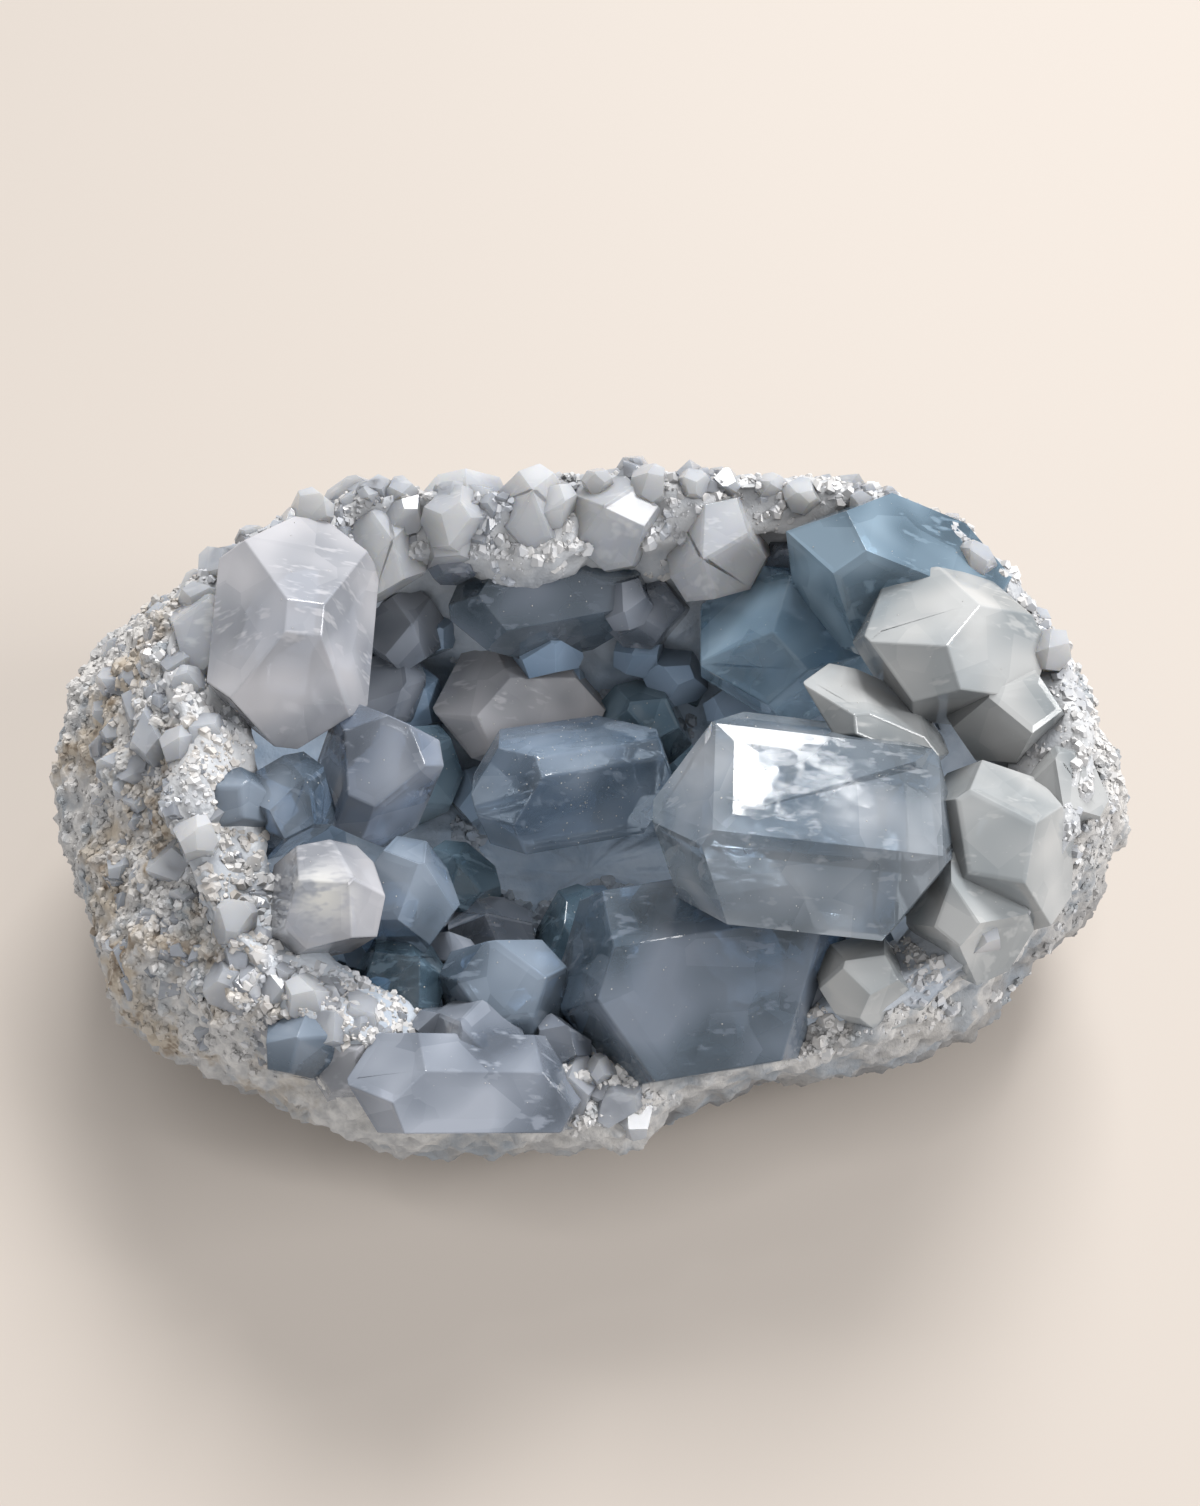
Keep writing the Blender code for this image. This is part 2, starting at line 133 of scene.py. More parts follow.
# The large crystals: (root, tip, width, thickness, turn about the long axis in degrees, slope of the ends).
LARGE_CRYSTALS = (
    ((-25, 1, 30), (-23.5, 20.5, 37.5), 13.5, 13, 20, STEEP),
    ((-21, 0, 18), (-15.5, 3.5, 33), 10, 9.5, 40, STEEP),
    ((-24, -10, 22), (-17.5, -12, 35), 9.5, 9, 70, STEEP),
    ((-18, -10, 17), (-13, -9, 30), 9.5, 9, 10, STEEP),
    ((-28, -2, 22), (-22.5, -2.5, 32.5), 8, 8, 0, STEEP),
    ((-30, -3, 25), (-27, -3, 33), 6, 6, 50, STEEP),
    ((7, 7, 17), (-10.5, 0.5, 23.5), 12, 14, -12, BLUNT),
    ((2, 16, 12), (-14.5, 12, 18.5), 13, 11, 20, STEEP),
    ((7, 22.5, 25), (-12.8, 17, 26.5), 11, 11.5, 30, STEEP),
    ((-12.5, 24.5, 27), (-9.5, 21, 38), 9.5, 8.5, 15, STEEP),
    ((-5, 24.5, 28), (-4.5, 21.5, 38.5), 8, 8, 75, STEEP),
    ((3.5, 26, 27), (1, 20.5, 37.5), 9, 8.5, 30, STEEP),
    ((13, 26, 26), (9.5, 17.5, 35), 10, 9, 80, STEEP),
    ((7, 25, 17), (3.5, 17, 28), 9, 8.5, 15, STEEP),
    ((11, 22, 7), (7.5, 16.5, 17), 7, 7, 40, STEEP),
    ((27, 21, 20), (9.5, 11.5, 27.5), 14.5, 15, 35, STEEP),
    ((36, 15, 29), (16.5, 18.5, 37), 13.5, 13, 65, STEEP),
    ((38, 11, 29), (22, 7.5, 39), 14, 11, 25, STEEP),
    ((30, 2, 30), (17.5, 4.5, 36), 9, 3.5, 30, LOW),
    ((30, -6.5, 30), (4.5, -5, 33.5), 19, 13, 0, BLUNT),
    ((22, -12.5, 21), (-3, -16.5, 20), 20, 16, 22, BLUNT),
    ((-6, -20, 13), (-7, -13.5, 27), 10.5, 9.5, 0, STEEP),
    ((0, -23.5, 20), (-18.5, -25.5, 27), 10, 8, 20, STEEP),
    ((-7, -23, 15), (-9.5, -20.5, 27.5), 10, 8, 60, STEEP),
    ((-23, -20, 19), (-22, -22.5, 29), 6.5, 6, 20, STEEP),
    ((-20, -22, 16), (-17.5, -23, 27), 6, 5.5, 60, STEEP),
    ((-18, -15, 13), (-13.5, -15, 26), 8, 7.5, 45, STEEP),
    ((-18, -20, 12), (-13.5, -19.5, 23.5), 7.5, 7, 5, STEEP),
    ((37, -8, 22), (29, -6, 37), 12.5, 12, 40, STEEP),
    ((33.5, -12, 20), (28, -10.5, 34), 10.5, 10, 10, STEEP),
    ((26, -16.5, 18), (20, -16.5, 29), 7.5, 7, 70, STEEP),
    ((39.5, -3, 25), (37, -1.5, 35), 8.5, 8, 0, STEEP),
    ((38, 6, 24), (32, 3, 37), 9.5, 9, 50, STEEP),
    ((-32, 9, 26), (-31, 13, 36.5), 8, 8, 0, STEEP),
    ((-20, 22, 26), (-16.5, 18, 36.5), 8, 8, 45, STEEP),
    ((1, -10, 6), (-2, -8, 19), 9, 8, 30, STEEP),
    ((-8, -9, 6), (-8.5, -8, 18.5), 9.5, 8.5, 60, STEEP),
    ((10, -10, 7), (6, -11, 20), 7, 7, 10, STEEP),
    ((-17, 8, 9), (-14.5, 6, 21), 9, 8.5, 20, STEEP),
    ((8, 8, 6), (10, 4, 20), 8, 8, 70, STEEP),
    ((-19, 21, 16), (-15.5, 16, 26.5), 8.5, 8, 55, STEEP),
    ((-21, 16, 14), (-16.5, 12, 23), 8, 8, 10, STEEP),
    ((7, 14, 8), (3.5, 12, 19.5), 8.5, 8, 40, STEEP),
    ((-11.5, -4, 8), (-11.5, -3, 18.5), 8, 7.5, 15, STEEP),
    ((-14, -12, 10), (-11, -13.5, 22), 7.5, 7, 65, STEEP),
)

# The small crystals: rings of them down the hollow, from its edge (0) towards its floor (1), as
# (share of the way down, how many, least length, greatest length, lean towards the middle), and the look
# of each ring.
SMALL_CRYSTAL_RINGS = (
    (0.0, 28, 4.2, 6.2, 0.5),
    (0.16, 16, 5.5, 8.5, 0.7),
    (0.36, 13, 6.0, 9.0, 0.8),
    (0.58, 11, 6.0, 9.0, 0.7),
    (0.80, 6, 6.0, 8.0, 0.3),
)
RING_LOOKS = ("pearly", "smoky", "deep", "deep", "deep")

# How a small crystal strays: along its ring, down the hollow and at its tip. How far in from the hollow's
# wall its root is, below the first ring, how steeply it rises, its width as a share of its length, and its
# thickness as a share of its width.
RING_STRAY = 0.3
DOWN_STRAY = 0.05
TIP_STRAY = 0.45
RING_INSET = 0.6
TIP_RISE = 1.2
SMALL_WIDTH = (0.6, 0.85)
SMALL_THICKNESS = (0.8, 1.1)
SEED = 14

# The rounding of the crystals' edges, and the least angle in degrees at which an edge has it.
EDGE_BEVEL = 0.13
EDGE_ANGLE = 12

# What each large crystal looks like, by its number in the list above; the rest are blue.
CRYSTAL_LOOKS = {
    "lavender": {1, 8, 26, 28},
    "pearly": {10, 11, 12, 13, 34, 35},
    "clotted": {3},
    "smoky": {2, 14, 23, 24, 37, 41, 42, 45},
    "milky": {18, 19, 29, 30, 31, 32, 33},
    "teal": {15, 16, 17, 27, 36, 38, 39, 40, 43, 44},
    # Crystals 9 and 21 take the shaded look, which is painted shade.
    "shaded": {9, 21},
    "polished": {20},
}

# Growth steps stand up from the faces, or sink into them: the least area of a face that has one, the share
# of the face's size left free around the step, and the step's least and greatest height.
STEP_AREA = 7.0
STEP_MARGIN = (0.07, 0.22)
STEP_HEIGHT = (-0.08, 0.11)

# Each look: (colour where it is milky and high up, colour elsewhere, transmission where it is milky and
# where it is clear, the absorption's colour and density, how much light spreads inside, and the roughness
# where it is clear and where it is veiled).
GLOSSY = (0.03, 0.12)
SATIN = (0.03, 0.16)
FROSTED = (0.06, 0.22)
LAVENDER = ((0.92, 0.92, 0.98), (0.76, 0.80, 0.90), (0.28, 0.60), (0.88, 0.90, 0.98), 9, 0.0, SATIN)
CELESTITE = {
    "lavender": LAVENDER,
    "clotted": LAVENDER,
    "pearly": ((0.91, 0.93, 0.99), (0.78, 0.82, 0.92), (0.16, 0.36), (0.90, 0.93, 0.99), 6, 0.6, SATIN),
    "smoky": ((0.70, 0.76, 0.89), (0.49, 0.59, 0.76), (0.38, 0.80), (0.68, 0.78, 0.93), 20, 0.0, SATIN),
    "blue": ((0.53, 0.64, 0.80), (0.36, 0.51, 0.70), (0.42, 0.84), (0.60, 0.77, 0.93), 18, 0.0, SATIN),
    "teal": ((0.50, 0.70, 0.89), (0.36, 0.60, 0.83), (0.42, 0.82), (0.52, 0.75, 0.93), 18, 0.0, SATIN),
    # The shaded look is a darker, greyer copy of the teal one: painted shade.
    "shaded": ((0.39, 0.46, 0.58), (0.28, 0.40, 0.53), (0.42, 0.84), (0.52, 0.68, 0.82), 30, 0.0, SATIN),
    "deep": ((0.54, 0.71, 0.95), (0.42, 0.62, 0.90), (0.14, 0.34), (0.55, 0.75, 0.94), 18, 0.0, SATIN),
    "milky": ((0.81, 0.83, 0.84), (0.65, 0.72, 0.77), (0.22, 0.52), (0.90, 0.93, 0.95), 9, 0.0, FROSTED),
    "polished": ((0.58, 0.63, 0.70), (0.41, 0.51, 0.61), (0.34, 0.80), (0.68, 0.78, 0.87), 23, 0.0, GLOSSY),
}

# How far light spreads inside, in red, green and blue.
GLOW_REACH = (5.0, 4.2, 3.2)

# The depth of the waves on the crystals' faces, the heights in metres between which the crystals grow
# paler, and how much finer the veils are along each axis.
WAVINESS = 0.08
PALER_HEIGHTS = (0.018, 0.036)
VEIL_STRETCH = (1.0, 2.6, 0.7)

# The whitish clot inside one of the crystals at the left, how far it reaches, and the share of its reach up
# to which it is at its full strength.
CLOT_PLACE = (-20.3, -13.2, 34.0)
CLOT_REACH = 3.6
CLOT_CORE = 0.2
CLOT_COLOUR = (0.95, 0.94, 0.90)

# The crystals scattered on the rim, the rind and the bed, down to the finest sugar, and the dust on the
# crystals' faces: (how many, least and greatest length, the least and greatest distance that they lie
# inwards from the rind's edge, the share of their length that is sunk in, and the compass directions
# between which they lie, in degrees).
SUGAR = {
    "rim_crystals": (190, 3.4, 8.0, -7.0, 6.0, 0.36, 105, 290),
    "back_crystals": (80, 2.6, 5.0, -2.5, 3.0, 0.25, 20, 130),
    "rim_sugar": (4500, 0.4, 2.0, -2.5, 9.0, 0.25, 0, 360),
    "rind_sugar": (4200, 0.4, 1.6, -16.0, 1.0, 0.15, 0, 360),
    "bed_sugar": (1500, 0.6, 2.4, 8.0, 30.0, 0.15, 0, 360),
    "dust": (900, 0.06, 0.2, 0.0, 40.0, 0.1, 0, 360),
}
SUGAR_SEED = 5

# The shapes of the scattered crystals: how many there are, and their width as a share of their length. How
# far their directions stray, and the height from which their places are looked for.
GRAIN_SHAPES = 8
GRAIN_WIDTH = (0.5, 0.9)
GRAIN_STRAY = 0.45
ABOVE_ALL = 80

# The rind's mesh: the size of its faces, and how many times it is smoothed.
RIND_VOXEL = 0.58
RIND_SMOOTHING = 4

# The surfaces of the rind and of the bed: (size of a lump, depth) of each layer of grain, and how far all
# of it is sunk in.
RIND_GRAIN = ((3.4, 0.6), (1.5, 0.5), (0.8, 0.25))
RIND_SINK = 0.25
BED_GRAIN = ((2.6, 0.5), (1.1, 0.35))
BED_SINK = 0.2

# The rind's grain starts at this height and is whole so much farther up, which leaves the flat spot flat.
FLAT_HEIGHT = 0.3
FADE_HEIGHT = 3.0

# The rind and the sugar on it: (its two pale colours, the colour of its grey patches, strength of the
# stains). The sugar on the rim and on the bed: (its clear and its white colour, strength of the stains).
RIND_LOOK = (((0.68, 0.67, 0.67), (0.92, 0.90, 0.88)), (0.42, 0.46, 0.51), 0.95)
RIND_SUGAR_LOOK = (((0.76, 0.75, 0.75), (0.94, 0.92, 0.91)), (0.54, 0.58, 0.62), 0.75)
RIM_SUGAR_LOOK = (((0.66, 0.71, 0.80), (0.97, 0.96, 0.96)), 0.55)
BED_SUGAR_LOOK = (((0.38, 0.47, 0.60), (0.60, 0.68, 0.80)), 0.0)
DUST_COLOUR = (0.75, 0.75, 0.74, 1.0)

# Below the first of these heights, in metres, the rind has the colour of painted shade, and above the
# second its own. The bed goes from its low colours to its high ones in the same way.
RIND_HEIGHTS = (0.008, 0.020)
RIND_PAINTED_SHADE = (0.24, 0.24, 0.25)
BED_HEIGHTS = (0.014, 0.032)
BED_LOW = ((0.42, 0.57, 0.77), (0.60, 0.74, 0.93))
BED_HIGH = ((0.62, 0.65, 0.70), (0.80, 0.81, 0.83))

# The stains, and the places along X, in metres, between which they grow from their least share to their
# full strength.
OCHRE = (0.67, 0.58, 0.47)
BROWN = (0.29, 0.22, 0.16)
STAIN_PLACES = (-0.014, -0.036)
LEAST_STAIN = 0.12


def at_compass(values, angle):
    """A smooth closed curve through evenly spaced values, read at an angle."""
    count = len(values)
    place = (angle / math.tau * count) % count
    start = int(place)
    t = place - start
    before, low, high, after = (values[(start + step) % count] for step in (-1, 0, 1, 2))
    slope_low = (high - before) / 2
    slope_high = (after - low) / 2
    rise = high - low
    curve = 3 * rise - 2 * slope_low - slope_high + t * (slope_low + slope_high - 2 * rise)
    return low + t * (slope_low + t * curve)


def bezier(points, t):
    """A point (radius, height) on the Bezier curve of the given points."""
    points = [Vector(p) for p in points]
    while len(points) > 1:
        points = [a.lerp(b, t) for a, b in zip(points, points[1:])]
    return points[0]


def hollow_curve(angle, inset=0.0):
    """The hollow's wall from the edge to the middle of its floor, moved inwards by the inset."""
    girth = at_compass(GIRTH_RADII, angle)
    edge = at_compass(EDGE_RADII, angle)
    top = at_compass(EDGE_HEIGHTS, angle)
    return (
        (edge - WALL - inset, top - EDGE_DROP),
        (girth - WALL - inset, GIRTH_HEIGHT + BELLY_RISE),
        (girth * FLOOR_SHARE - inset, FLOOR_HEIGHT + inset),
        (0.0, FLOOR_HEIGHT + inset),
    )


def crystal_axes(root, tip, turn):
    """A rotation whose X axis runs from the root to the tip, turned about that axis."""
    long = (tip - root).normalized()
    level = Vector((0, 0, 1)).cross(long)
    if level.length < ALMOST_UPRIGHT:
        level = Vector((1, 0, 0)).cross(long)
    level.normalize()
    axes = Matrix((long, level, long.cross(level))).transposed()
    return axes @ Matrix.Rotation(turn, 3, "X")


def crystal_faces(length, width, thickness, slope, dice):
    """(normal, distance from the middle) of each face of a crystal, on its own axes."""
    half = length / 2
    side_reach = width / 2 * math.sin(SIDE_ANGLE)
    faces = []

    def face(normal, distance):
        """Adds a face, a little nearer or farther out than it would be on a perfect crystal."""
        faces.append((Vector(normal), distance * dice.uniform(*FACE_SHIFT)))

    for up in (1, -1):
        face((0, 0, up), thickness / 2)
        for side in (1, -1):
            face((0, side * math.sin(SIDE_ANGLE), up * math.cos(SIDE_ANGLE)), side_reach)
    for end in (1, -1):
        for side in (1, -1):
            face((end * math.cos(END_ANGLE), side * math.sin(END_ANGLE), 0), half * math.cos(END_ANGLE))
        for up in (1, -1):
            face((end * math.cos(slope), 0, up * math.sin(slope)), half * math.cos(slope))
    return faces


def corners_of(faces):
    """The corners of the solid that lies behind all the faces."""
    corners = []
    for i, (a, da) in enumerate(faces):
        for j in range(i):
            b, db = faces[j]
            line = a.cross(b)
            for c, dc in faces[:j]:
                volume = line.dot(c)
                if abs(volume) < NO_VOLUME:
                    continue
                point = (b.cross(c) * da + c.cross(a) * db + a.cross(b) * dc) / volume
                if all(normal.dot(point) <= distance + ON_FACE for normal, distance in faces):
                    corners.append(point)
    return corners


def crystal_mesh(root, tip, width, thickness, turn, slope, dice):
    """One crystal with flat faces, in millimetres."""
    root, tip = Vector(root), Vector(tip)
    axes = crystal_axes(root, tip, math.radians(turn))
    middle = (root + tip) / 2
    mesh = bmesh.new()
    for point in corners_of(crystal_faces((tip - root).length, width, thickness, slope, dice)):
        mesh.verts.new(axes @ point + middle)
    bmesh.ops.remove_doubles(mesh, verts=mesh.verts, dist=SAME_CORNER)
    bmesh.ops.convex_hull(mesh, input=mesh.verts)
    flat = math.radians(SAME_FACE)
    bmesh.ops.dissolve_limit(mesh, angle_limit=flat, verts=mesh.verts, edges=mesh.edges)
    bmesh.ops.recalc_face_normals(mesh, faces=mesh.faces)
    return mesh


def small_crystals(dice):
    """The small crystals, which lean in and up, each given by the same six values as a large one."""
    found = []
    for share, count, least, most, lean in SMALL_CRYSTAL_RINGS:
        for i in range(count):
            angle = math.tau * (i + share * 2 + dice.uniform(-RING_STRAY, RING_STRAY)) / count
            inset = RING_INSET if share else -WALL / 2
            down = min(max(share + dice.uniform(-DOWN_STRAY, DOWN_STRAY), 0.0), 1.0)
            spot = bezier(hollow_curve(angle, inset), down)
            outwards = Vector((math.cos(angle), math.sin(angle), 0))
            root = outwards * spot.x + Vector((0, 0, spot.y))
            stray = Vector(dice.uniform(-TIP_STRAY, TIP_STRAY) for _ in range(3))
            length = dice.uniform(least, most)
            tip = root + (Vector((0, 0, TIP_RISE)) - outwards * lean + stray).normalized() * length
            width = length * dice.uniform(*SMALL_WIDTH)
            thickness = width * dice.uniform(*SMALL_THICKNESS)
            found.append((root, tip, width, thickness, dice.uniform(0, 90), STEEP))
    return found


def add_object(name, mesh, made_of):
    """An object of a mesh in millimetres, at its real size."""
    bmesh.ops.scale(mesh, vec=(MM, MM, MM), verts=mesh.verts)
    data = bpy.data.meshes.new(name)
    mesh.to_mesh(data)
    mesh.free()
    data.materials.append(made_of)
    thing = bpy.data.objects.new(name, data)
    bpy.context.scene.collection.objects.link(thing)
    return thing


def fit_out(thing, node):
    """Ties a piece to the body, and lets it stand for a node of the solids, whose part it hides."""
    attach(thing, BODY)
    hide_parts(node)


class Nodes:
    """Short ways to put shader nodes together."""

    def __init__(self, name):
        self.material = bpy.data.materials.new(name)
        self.material.use_nodes = True
        self.tree = self.material.node_tree
        self.shader = self.tree.nodes["Principled BSDF"]
        self.place = self.tree.nodes.new("ShaderNodeTexCoord").outputs["Object"]

    def link(self, source, target):
        """Joins two sockets."""
        self.tree.links.new(source, target)

    def noise(self, size_mm, detail=3.0, roughness=0.6, shift=0.0, stretch=(1, 1, 1)):
        """Noise whose blobs are about the given size."""
        mapping = self.tree.nodes.new("ShaderNodeMapping")
        mapping.inputs["Location"].default_value = (shift, shift, shift)
        mapping.inputs["Scale"].default_value = stretch
        self.link(self.place, mapping.inputs["Vector"])
        made = self.tree.nodes.new("ShaderNodeTexNoise")
        made.inputs["Scale"].default_value = 1 / (size_mm * MM)
        made.inputs["Detail"].default_value = detail
        made.inputs["Roughness"].default_value = roughness
        self.link(mapping.outputs["Vector"], made.inputs["Vector"])
        return made.outputs["Fac"]

    def shade_of_cells(self, size_mm):
        """A random value for each of many flat-sided cells about the given size."""
        cells = self.tree.nodes.new("ShaderNodeTexVoronoi")
        cells.inputs["Scale"].default_value = 1 / (size_mm * MM)
        self.link(self.place, cells.inputs["Vector"])
        shade = self.tree.nodes.new("ShaderNodeTexWhiteNoise")
        self.link(cells.outputs["Color"], shade.inputs["Vector"])
        return shade.outputs["Value"]

    def ramp(self, source, low, high, out_low=0.0, out_high=1.0):
        """A value mapped from one range to another, and held at its ends."""
        made = self.tree.nodes.new("ShaderNodeMapRange")
        made.inputs["From Min"].default_value = low
        made.inputs["From Max"].default_value = high
        made.inputs["To Min"].default_value = out_low
        made.inputs["To Max"].default_value = out_high
        self.link(source, made.inputs["Value"])
        return made.outputs["Result"]

    def maths(self, kind, first, second):
        """The sum, product, difference or greater one of two values."""
        made = self.tree.nodes.new("ShaderNodeMath")
        made.operation = kind
        for socket, value in zip(made.inputs, (first, second)):
            if isinstance(value, (int, float)):
                socket.default_value = value
            else:
                self.link(value, socket)
        return made.outputs["Value"]

    def mix(self, factor, first, second):
        """Two colours, or outputs that give them, mixed by a factor."""
        made = self.tree.nodes.new("ShaderNodeMix")
        made.data_type = "RGBA"
        self.link(factor, made.inputs["Factor"])
        for socket, value in zip((made.inputs[6], made.inputs[7]), (first, second)):
            if isinstance(value, tuple):
                socket.default_value = (*value, 1.0)
            else:
                self.link(value, socket)
        return made.outputs[2]

    def axis(self, name):
        """One coordinate of the place, in metres."""
        made = self.tree.nodes.new("ShaderNodeSeparateXYZ")
        self.link(self.place, made.inputs[0])
        return made.outputs[name]

    def stained(self, clean, strength):
        """A colour with ochre patches and brown specks, mostly towards -X."""
        to_the_left = self.ramp(self.axis("X"), *STAIN_PLACES, LEAST_STAIN * strength, strength)
        patches = self.ramp(self.noise(9, detail=4, roughness=0.72, shift=7.0), 0.49, 0.60)
        share = self.maths("MULTIPLY", patches, to_the_left)
        specks = self.ramp(self.noise(2.6, detail=3, roughness=0.8, shift=11.0), 0.51, 0.60)
        ochre = self.mix(share, clean, OCHRE)
        return self.mix(self.maths("MULTIPLY", specks, share), ochre, BROWN)

    def near(self, place_mm, reach_mm, core):
        """How near a place is: 1 up to a share of the reach, and 0 from the reach on."""
        made = self.tree.nodes.new("ShaderNodeVectorMath")
        made.operation = "DISTANCE"
        self.link(self.place, made.inputs[0])
        made.inputs[1].default_value = [value * MM for value in place_mm]
        return self.ramp(made.outputs["Value"], reach_mm * MM, reach_mm * MM * core)

    def glow(self, strength):
        """Lets light spread under the surface."""
        self.shader.inputs["Subsurface Weight"].default_value = strength
        self.shader.inputs["Subsurface Radius"].default_value = GLOW_REACH
        self.shader.inputs["Subsurface Scale"].default_value = MM

    def bump(self, height, strength, distance_mm):
        """Relief from a value."""
        made = self.tree.nodes.new("ShaderNodeBump")
        made.inputs["Strength"].default_value = strength
        made.inputs["Distance"].default_value = distance_mm * MM
        self.link(height, made.inputs["Height"])
        self.link(made.outputs["Normal"], self.shader.inputs["Normal"])


def rind_material(name, pale_colours, grey_colour, stain):
    """White sugary stone with grey clear grains, painted shade low down, and ochre and brown stains, mostly
    towards -X.
    """
    nodes = Nodes(name)
    blobs = nodes.noise(6, detail=3, roughness=0.65)
    fine = nodes.noise(1.3, detail=2, roughness=0.7, shift=3.0)
    sugary = nodes.mix(nodes.ramp(fine, 0.38, 0.62), *pale_colours)
    # Painted shade: the rind turns dark grey towards its bottom.
    pale = nodes.mix(nodes.ramp(nodes.axis("Z"), *RIND_HEIGHTS), RIND_PAINTED_SHADE, sugary)
    grey = nodes.mix(nodes.ramp(blobs, 0.49, 0.62), pale, grey_colour)
    nodes.link(nodes.stained(grey, stain), nodes.shader.inputs["Base Color"])
    nodes.link(nodes.ramp(fine, 0.3, 0.7, 0.85, 0.4), nodes.shader.inputs["Roughness"])
    relief = nodes.noise(0.45, detail=2, roughness=0.7, shift=5.0)
    nodes.bump(relief, strength=0.6, distance_mm=0.25)
    return nodes.material


def bed_material():
    """The bed between the crystals: milky near the edge, dark blue-grey down in the hollow."""
    nodes = Nodes("crystal_bed")
    height = nodes.ramp(nodes.axis("Z"), *BED_HEIGHTS)
    cloud = nodes.ramp(nodes.noise(4, detail=3, roughness=0.6), 0.35, 0.65)
    low = nodes.mix(cloud, *BED_LOW)
    high = nodes.mix(cloud, *BED_HIGH)
    nodes.link(nodes.mix(height, low, high), nodes.shader.inputs["Base Color"])
    nodes.shader.inputs["Roughness"].default_value = 0.3
    nodes.shader.inputs["IOR"].default_value = CELESTITE_IOR
    relief = nodes.noise(0.6, detail=2, roughness=0.6, shift=2.0)
    nodes.bump(relief, strength=0.5, distance_mm=0.25)
    return nodes.material


def crystal_material(kind, pale, deep, transmission, absorbed, density, glow, roughness):
    """Clear to milky crystal with veils, and with a whitish clot inside if it is the clotted kind."""
    nodes = Nodes(f"crystal_{kind}")
    cloud = nodes.noise(7.0, detail=1, roughness=0.5, shift=1.0)
    veil = nodes.noise(2.2, detail=2, roughness=0.65, shift=4.0, stretch=VEIL_STRETCH)
    glints = nodes.maths("MULTIPLY", nodes.shade_of_cells(4.5), 0.34)
    soft = nodes.maths("ADD", nodes.ramp(cloud, 0.36, 0.68), glints)
    milk = nodes.maths("MAXIMUM", soft, nodes.ramp(veil, 0.52, 0.66, 0.0, 0.8))
    high = nodes.ramp(nodes.axis("Z"), *PALER_HEIGHTS, 0.6, 1.0)
    tint = nodes.mix(nodes.maths("MULTIPLY", milk, high), deep, pale)
    milky, clear = transmission
    clearness = nodes.ramp(milk, 0.0, 1.2, clear, milky)
    if kind == "clotted":
        wisps = nodes.ramp(veil, 0.36, 0.52, 0.25, 1.0)
        clot = nodes.maths("MULTIPLY", nodes.near(CLOT_PLACE, CLOT_REACH, CLOT_CORE), wisps)
        tint = nodes.mix(clot, tint, CLOT_COLOUR)
        clearness = nodes.maths("MULTIPLY", clearness, nodes.maths("SUBTRACT", 1.0, clot))
    nodes.link(tint, nodes.shader.inputs["Base Color"])
    nodes.link(clearness, nodes.shader.inputs["Transmission Weight"])
    nodes.link(nodes.ramp(veil, 0.42, 0.68, *roughness), nodes.shader.inputs["Roughness"])
    nodes.shader.inputs["IOR"].default_value = CELESTITE_IOR
    nodes.glow(glow)
    waves = nodes.noise(2.6, detail=1, roughness=0.5, shift=6.0)
    nodes.bump(waves, strength=0.25, distance_mm=WAVINESS)
    volume = nodes.tree.nodes.new("ShaderNodeVolumeAbsorption")
    volume.inputs["Color"].default_value = (*absorbed, 1.0)
    volume.inputs["Density"].default_value = density
    nodes.link(volume.outputs["Volume"], nodes.tree.nodes["Material Output"].inputs["Volume"])
    return nodes.material


def sugar_material(name, colours, stain):
    """Tiny crystals in clear patches of one colour and white patches of another, with stains."""
    nodes = Nodes(name)
    grains = nodes.maths("MULTIPLY", nodes.shade_of_cells(1.5), 0.30)
    patches = nodes.ramp(nodes.noise(6, detail=3, roughness=0.6, shift=2.0), 0.36, 0.54, 0.0, 0.70)
    shade = nodes.maths("ADD", grains, patches)
    nodes.link(nodes.stained(nodes.mix(shade, *colours), stain), nodes.shader.inputs["Base Color"])
    nodes.shader.inputs["Roughness"].default_value = 0.2
    nodes.shader.inputs["IOR"].default_value = CELESTITE_IOR
    return nodes.material


def dust_material():
    """Pale dust."""
    nodes = Nodes("dust")
    nodes.shader.inputs["Base Color"].default_value = DUST_COLOUR
    nodes.shader.inputs["Roughness"].default_value = 0.9
    return nodes.material


def grain(place, layers):
    """The height of granular lumps at a place in millimetres."""
    height = 0.0
    for size, depth in layers:
        distances = noise.voronoi(place / size)[0]
        height += (0.5 - distances[0]) * depth * 2
    return height


def wave(place, size):
    """A smooth random number, mostly between -1 and 1, that changes over the given size in millimetres."""
    seen_at = place / size + Vector(WAVE_OFFSET)
    return noise.fractal(seen_at, WAVE_SMOOTHNESS, WAVE_STEP, WAVE_LAYERS) * WAVE_STRENGTH


def add_rind(made_of):
    """The rind with its grain, grown on the solid's own shape."""
    copy = bpy.data.objects.new("rind_copy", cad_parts["rind"].data.copy())
    bpy.context.scene.collection.objects.link(copy)
    even = copy.modifiers.new("even", "REMESH")
    even.mode = "VOXEL"
    even.voxel_size = RIND_VOXEL * MM
    smooth = copy.modifiers.new("smooth", "SMOOTH")
    smooth.iterations = RIND_SMOOTHING
    mesh = bmesh.new()
    mesh.from_object(copy, bpy.context.evaluated_depsgraph_get())
    bpy.data.objects.remove(copy)
    bmesh.ops.scale(mesh, vec=(1 / MM, 1 / MM, 1 / MM), verts=mesh.verts)
    mesh.normal_update()
    moves = []
    for vertex in mesh.verts:
        keep_flat = min(max((vertex.co.z - FLAT_HEIGHT) / FADE_HEIGHT, 0.0), 1.0)
        moves.append(vertex.normal * ((grain(vertex.co, RIND_GRAIN) - RIND_SINK) * keep_flat))
    for vertex, move in zip(mesh.verts, moves):
        vertex.co += move
        vertex.co.z = max(vertex.co.z, 0.0)
    for face in mesh.faces:
        face.smooth = True
    rind = add_object("rind_stone", mesh, made_of)
    fit_out(rind, "rind")
    return rind


